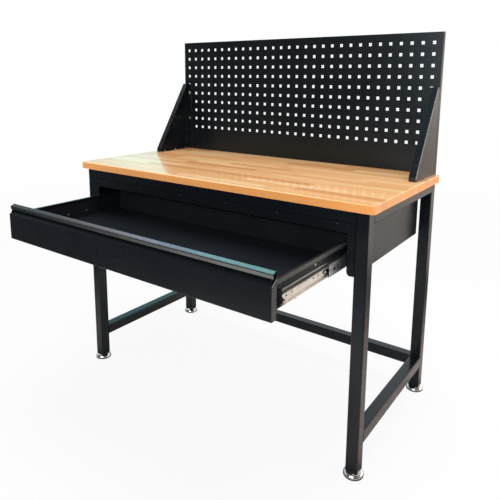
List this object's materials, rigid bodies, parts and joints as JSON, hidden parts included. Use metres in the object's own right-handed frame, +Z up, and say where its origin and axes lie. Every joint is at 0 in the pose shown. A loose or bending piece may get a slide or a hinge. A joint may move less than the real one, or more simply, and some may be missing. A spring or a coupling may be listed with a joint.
{
  "type": "workbench with pegboard",
  "caption": "Free-standing steel workbench with a wooden top, a perforated tool panel on triangular side plates, a wide drawer on telescopic ball runners and levelling feet.",
  "frame": {"origin": "on the floor, at the middle of the bounding box with the drawer pulled out as in the picture", "axes": "+X to the right of a person at the bench, -Y towards that person, +Z up"},
  "size_m": [1.2, 0.955, 1.3],
  "materials": {
    "black_coat": "satin black powder coat",
    "oiled_wood": "satin varnished jointed staves",
    "chrome_plate": "bright chrome plate",
    "zinc_steel": "bright zinc plate",
    "black_plastic": "moulded"
  },
  "bodies": {
    "bench": {"front_left_leg": "black_coat", "front_right_leg": "black_coat", "rear_left_leg": "black_coat", "rear_right_leg": "black_coat", "left_upper_rail": "black_coat", "right_upper_rail": "black_coat", "front_upper_rail": "black_coat", "rear_upper_rail": "black_coat", "left_lower_rail": "black_coat", "right_lower_rail": "black_coat", "rear_lower_rail": "black_coat", "pegboard": "black_coat", "left_gusset": "black_coat", "right_gusset": "black_coat", "case_left_side": "black_coat", "case_right_side": "black_coat", "case_back": "black_coat", "case_bottom": "black_coat", "case_front_band": "black_coat", "left_runner_posts": "black_coat", "right_runner_posts": "black_coat", "worktop": "oiled_wood", "gusset_screws": "zinc_steel", "gusset_bolts": "zinc_steel", "gusset_nuts": "zinc_steel", "pegboard_screws": "zinc_steel", "worktop_bolts": "zinc_steel", "left_runner_outer": "zinc_steel", "right_runner_outer": "zinc_steel", "leg_plugs": "black_plastic"},
    "drawer": {"drawer_front": "black_coat", "drawer_tray": "black_coat", "left_runner_inner": "zinc_steel", "left_runner_buffer": "black_plastic", "left_drawer_screws": "zinc_steel", "left_lever_pin": "zinc_steel", "right_runner_inner": "zinc_steel", "right_runner_buffer": "black_plastic", "right_drawer_screws": "zinc_steel", "right_lever_pin": "zinc_steel"},
    "left_middle": {"left_runner_middle": "zinc_steel"},
    "left_outer_cage": {"left_outer_ball_cage": "zinc_steel"},
    "left_inner_cage": {"left_inner_ball_cage": "black_plastic"},
    "left_lever": {"left_release_lever": "black_plastic"},
    "right_middle": {"right_runner_middle": "zinc_steel"},
    "right_outer_cage": {"right_outer_ball_cage": "zinc_steel"},
    "right_inner_cage": {"right_inner_ball_cage": "black_plastic"},
    "right_lever": {"right_release_lever": "black_plastic"},
    "front_left_leveller": {"front_left_foot": "chrome_plate", "front_left_foot_stud": "zinc_steel"},
    "front_right_leveller": {"front_right_foot": "chrome_plate", "front_right_foot_stud": "zinc_steel"},
    "rear_left_leveller": {"rear_left_foot": "chrome_plate", "rear_left_foot_stud": "zinc_steel"},
    "rear_right_leveller": {"rear_right_foot": "chrome_plate", "rear_right_foot_stud": "zinc_steel"}
  },
  "joints": [
    {"name": "drawer_slide", "type": "slide", "parent": "bench", "child": "drawer", "axis": [0, -1, 0], "range_m": [-0.366, 0.034]},
    {"name": "left_middle_slide", "type": "slide", "parent": "bench", "child": "left_middle", "axis": [0, -1, 0], "range_m": [-0.14087, 0.01318]},
    {"name": "left_outer_cage_roll", "type": "slide", "parent": "bench", "child": "left_outer_cage", "axis": [0, -1, 0], "range_m": [-0.07048, 0.00664]},
    {"name": "left_inner_cage_roll", "type": "slide", "parent": "bench", "child": "left_inner_cage", "axis": [0, -1, 0], "range_m": [-0.25348, 0.02364]},
    {"name": "left_lever_pivot", "type": "hinge", "parent": "drawer", "child": "left_lever", "pos_m": [-0.5098, -0.2205, 0.651], "axis": [1, 0, 0], "range_deg": [0, 8], "stiffness_Nm_per_rad": 0.1},
    {"name": "right_middle_slide", "type": "slide", "parent": "bench", "child": "right_middle", "axis": [0, -1, 0], "range_m": [-0.14087, 0.01318]},
    {"name": "right_outer_cage_roll", "type": "slide", "parent": "bench", "child": "right_outer_cage", "axis": [0, -1, 0], "range_m": [-0.07048, 0.00664]},
    {"name": "right_inner_cage_roll", "type": "slide", "parent": "bench", "child": "right_inner_cage", "axis": [0, -1, 0], "range_m": [-0.25348, 0.02364]},
    {"name": "right_lever_pivot", "type": "hinge", "parent": "drawer", "child": "right_lever", "pos_m": [0.5098, -0.2205, 0.651], "axis": [1, 0, 0], "range_deg": [0, 8], "stiffness_Nm_per_rad": 0.1},
    {"name": "front_left_foot_turn", "type": "hinge", "parent": "bench", "child": "front_left_leveller", "pos_m": [-0.562, -0.0925, 0], "axis": [0, 0, 1], "continuous": true},
    {"name": "front_right_foot_turn", "type": "hinge", "parent": "bench", "child": "front_right_leveller", "pos_m": [0.562, -0.0925, 0], "axis": [0, 0, 1], "continuous": true},
    {"name": "rear_left_foot_turn", "type": "hinge", "parent": "bench", "child": "rear_left_leveller", "pos_m": [-0.562, 0.4475, 0], "axis": [0, 0, 1], "continuous": true},
    {"name": "rear_right_foot_turn", "type": "hinge", "parent": "bench", "child": "rear_right_leveller", "pos_m": [0.562, 0.4475, 0], "axis": [0, 0, 1], "continuous": true}
  ],
  "couplings": [
    {"joint": "left_middle_slide", "follows": "drawer_slide", "ratio": 0.38462},
    {"joint": "left_outer_cage_roll", "follows": "drawer_slide", "ratio": 0.19231},
    {"joint": "left_inner_cage_roll", "follows": "drawer_slide", "ratio": 0.69231},
    {"joint": "right_middle_slide", "follows": "drawer_slide", "ratio": 0.38462},
    {"joint": "right_outer_cage_roll", "follows": "drawer_slide", "ratio": 0.19231},
    {"joint": "right_inner_cage_roll", "follows": "drawer_slide", "ratio": 0.69231}
  ]
}
